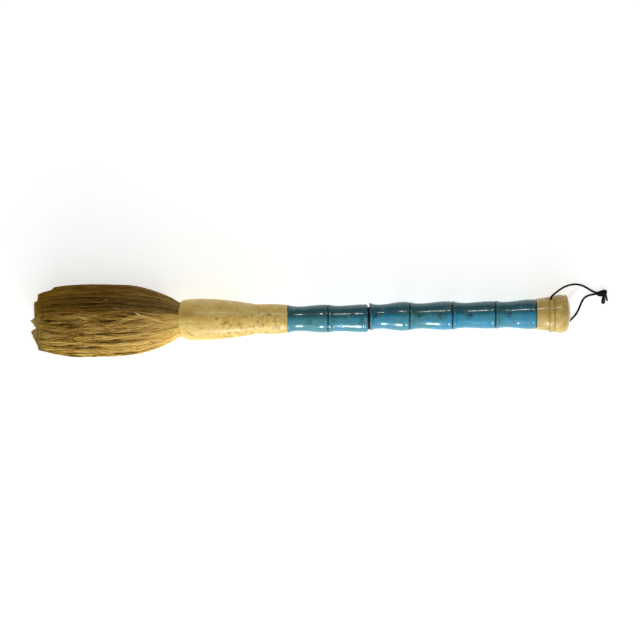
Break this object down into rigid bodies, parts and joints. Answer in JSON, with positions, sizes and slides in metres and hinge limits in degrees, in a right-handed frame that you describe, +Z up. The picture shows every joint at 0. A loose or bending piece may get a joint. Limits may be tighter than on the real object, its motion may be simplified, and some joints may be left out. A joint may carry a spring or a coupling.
{
  "type": "calligraphy brush",
  "caption": "Large calligraphy brush with a full blunt hair tuft, turned bone ferrule, bamboo-shaped turquoise handle, flared end cap and a knotted hanging loop.",
  "frame": {"origin": "centre of the brush's footprint on the surface it lies on, measured without the hanging loop", "axes": "+X along the brush from the hair to the end cap, +Y across it, +Z up"},
  "size_m": [0.4035, 0.05, 0.0471],
  "materials": {
    "hair": "straight coarse hair, dark brown to golden brown, soft sheen",
    "hair_core": "straight coarse hair, matte",
    "thread": "waxed thread",
    "resin": "set resin",
    "pale_bone": "polished bone with brown pores",
    "rod_wood": "plain turned wood",
    "dark_glue": "dark glue",
    "turquoise": "polished, mottled with dark veins and pits",
    "tan_horn": "polished",
    "cord": "thin dark brown cord"
  },
  "bodies": {
    "brush": {"hair_outer_tuft": "hair", "hair_core_tuft": "hair_core", "binding_thread": "thread", "root_resin_plug": "resin", "ferrule_cup": "pale_bone", "ferrule_collar": "pale_bone", "core_rod": "rod_wood", "open_joint_core": "dark_glue", "end_cap": "tan_horn", "handle_segment_1": "turquoise", "handle_segment_2": "turquoise", "handle_segment_3": "turquoise", "handle_segment_4": "turquoise", "handle_segment_5": "turquoise", "handle_segment_6": "turquoise", "seam_glue_0": "dark_glue", "seam_glue_1": "dark_glue", "seam_glue_3": "dark_glue", "seam_glue_4": "dark_glue", "seam_glue_5": "dark_glue", "seam_glue_6": "dark_glue"},
    "hanging_loop": {"loop_cord_in_hole": "cord", "loop_cord_upper": "cord", "loop_cord_lower": "cord", "cord_knot": "cord"}
  },
  "joints": [
    {"name": "loop_swing", "type": "hinge", "parent": "brush", "child": "hanging_loop", "pos_m": [0.17369, 0.00201, 0.0136], "axis": [0, 0.848, 0.5299], "range_deg": [-135, 85]}
  ]
}
